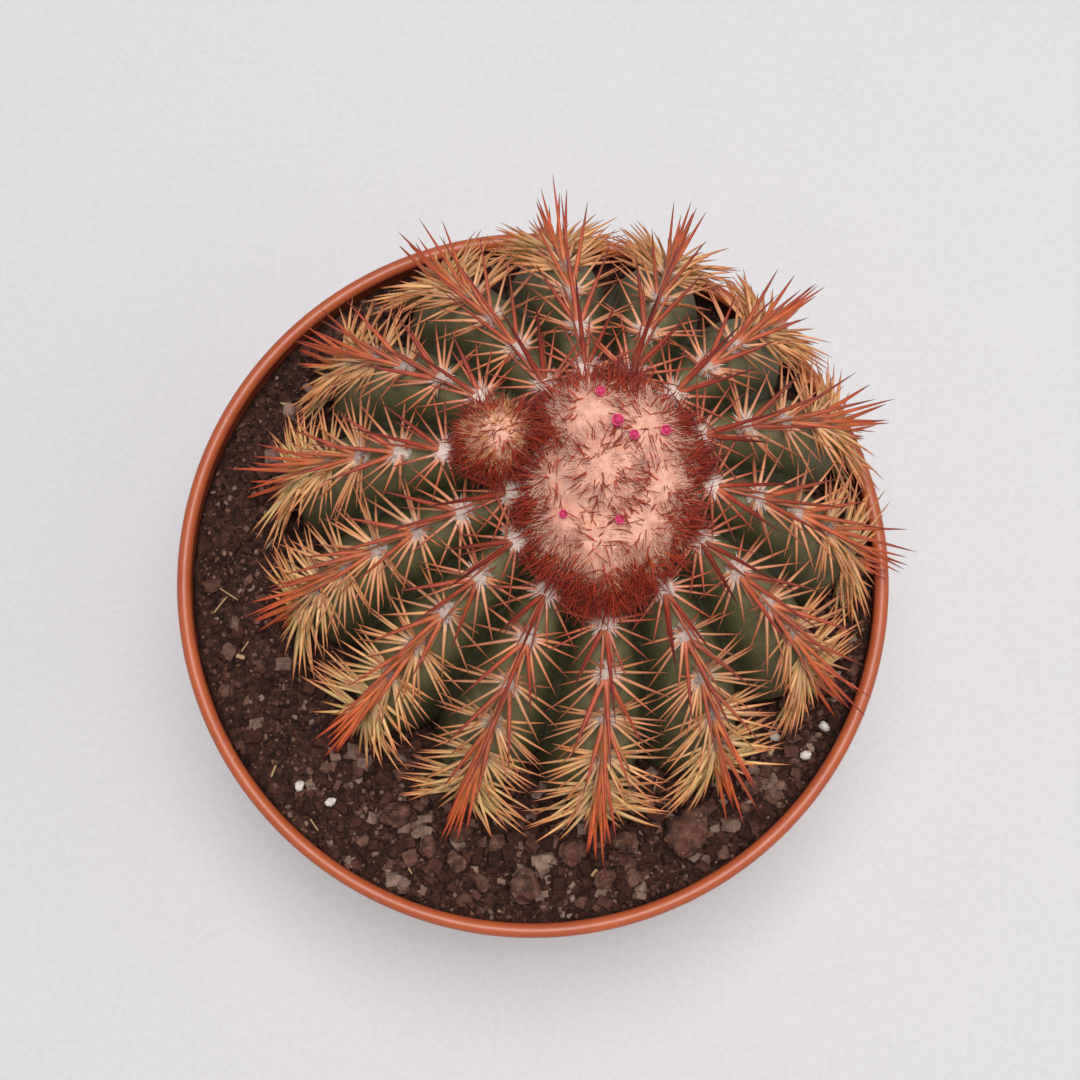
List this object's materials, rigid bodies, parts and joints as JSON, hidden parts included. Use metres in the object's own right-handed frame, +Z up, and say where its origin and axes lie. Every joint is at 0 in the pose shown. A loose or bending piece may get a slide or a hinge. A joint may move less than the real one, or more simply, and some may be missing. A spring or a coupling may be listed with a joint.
{
  "type": "potted round cactus",
  "caption": "Ribbed round cactus with rows of stiff spines and a woolly flowering crown, rooted in soil in a round tapered plastic pot.",
  "frame": {"origin": "middle of the whole plant's outline, on the surface the pot stands on", "axes": "+Z up out of the pot; the picture's camera looks down from the front, -Y, with +X to its right"},
  "size_m": [0.1862, 0.1894, 0.2093],
  "materials": {
    "pot_plastic": "satin",
    "potting_soil": "rough, moist",
    "stem_skin": "matte with a waxy bloom",
    "crown_wool": "woolly",
    "side_crown_wool": "woolly, bristly",
    "petal": "satin",
    "spine": "smooth",
    "lava_stone": "rough",
    "perlite": "rough"
  },
  "bodies": {
    "root": {"pot": "pot_plastic", "soil": "potting_soil", "stem": "stem_skin", "cephalium": "crown_wool", "cephalium_side_head": "side_crown_wool", "flower_1": "petal", "flower_2": "petal", "flower_3": "petal", "flower_4": "petal", "flower_5": "petal", "flower_6": "petal", "spine_row_01": "spine", "spine_row_02": "spine", "spine_row_03": "spine", "spine_row_04": "spine", "spine_row_05": "spine", "spine_row_06": "spine", "spine_row_07": "spine", "spine_row_08": "spine", "spine_row_09": "spine", "spine_row_10": "spine", "spine_row_11": "spine", "spine_row_12": "spine", "spine_row_13": "spine", "spine_row_14": "spine", "lava_stone_01": "lava_stone", "lava_stone_02": "lava_stone", "lava_stone_03": "lava_stone", "lava_stone_04": "lava_stone", "lava_stone_05": "lava_stone", "lava_stone_06": "lava_stone", "lava_stone_07": "lava_stone", "lava_stone_08": "lava_stone", "lava_stone_09": "lava_stone", "lava_stone_10": "lava_stone", "lava_stone_11": "lava_stone", "perlite_grain_1": "perlite", "perlite_grain_2": "perlite", "perlite_grain_3": "perlite", "perlite_grain_4": "perlite", "perlite_grain_5": "perlite"}
  },
  "joints": []
}
